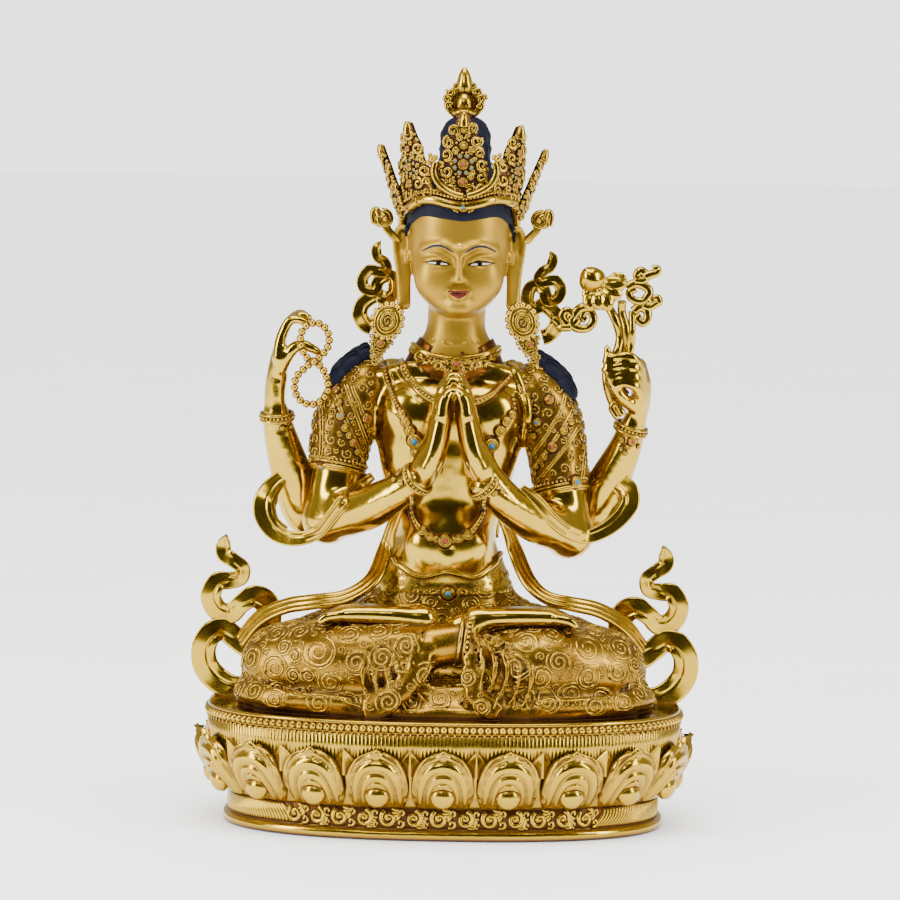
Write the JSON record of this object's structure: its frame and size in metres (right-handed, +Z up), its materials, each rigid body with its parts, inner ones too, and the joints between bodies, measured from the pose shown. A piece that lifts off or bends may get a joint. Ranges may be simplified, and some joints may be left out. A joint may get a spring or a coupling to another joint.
{
  "type": "avalokiteshvara statue",
  "caption": "Four-armed seated Avalokiteshvara with joined palms, prayer beads and lotus, crowned and jewelled, on an oval lotus throne; gilt copper, stands on its flat underside.",
  "frame": {"origin": "centre of the throne's flat underside", "axes": "+Z up, the statue faces -Y, +X towards the viewer's right (the figure's left)"},
  "size_m": [0.2534, 0.171, 0.3748],
  "materials": {
    "fire_gilt_copper": "polished fire gilding over copper, with darker hollows",
    "matt_gold_paint": "face and neck in matt gold, with painted brows, eyes and lips and dark blue hair",
    "chased_gilt_copper": "chased and gilded copper, red-brown in the hollows"
  },
  "bodies": {
    "root": {"lotus_throne": "chased_gilt_copper", "legs_and_garment": "chased_gilt_copper", "torso_and_front_arms": "fire_gilt_copper", "raised_arm_right": "fire_gilt_copper", "raised_arm_left": "fire_gilt_copper", "arm_sash_right": "fire_gilt_copper", "arm_sash_left": "fire_gilt_copper", "head_and_hair": "matt_gold_paint", "crown": "chased_gilt_copper", "topknot_finial": "chased_gilt_copper", "earring_right": "chased_gilt_copper", "earring_left": "chased_gilt_copper", "crown_ribbon_right": "chased_gilt_copper", "crown_ribbon_left": "chased_gilt_copper", "scarf_scroll_right": "chased_gilt_copper", "scarf_scroll_left": "chased_gilt_copper", "prayer_beads": "chased_gilt_copper", "lotus_spray": "fire_gilt_copper"}
  },
  "joints": []
}
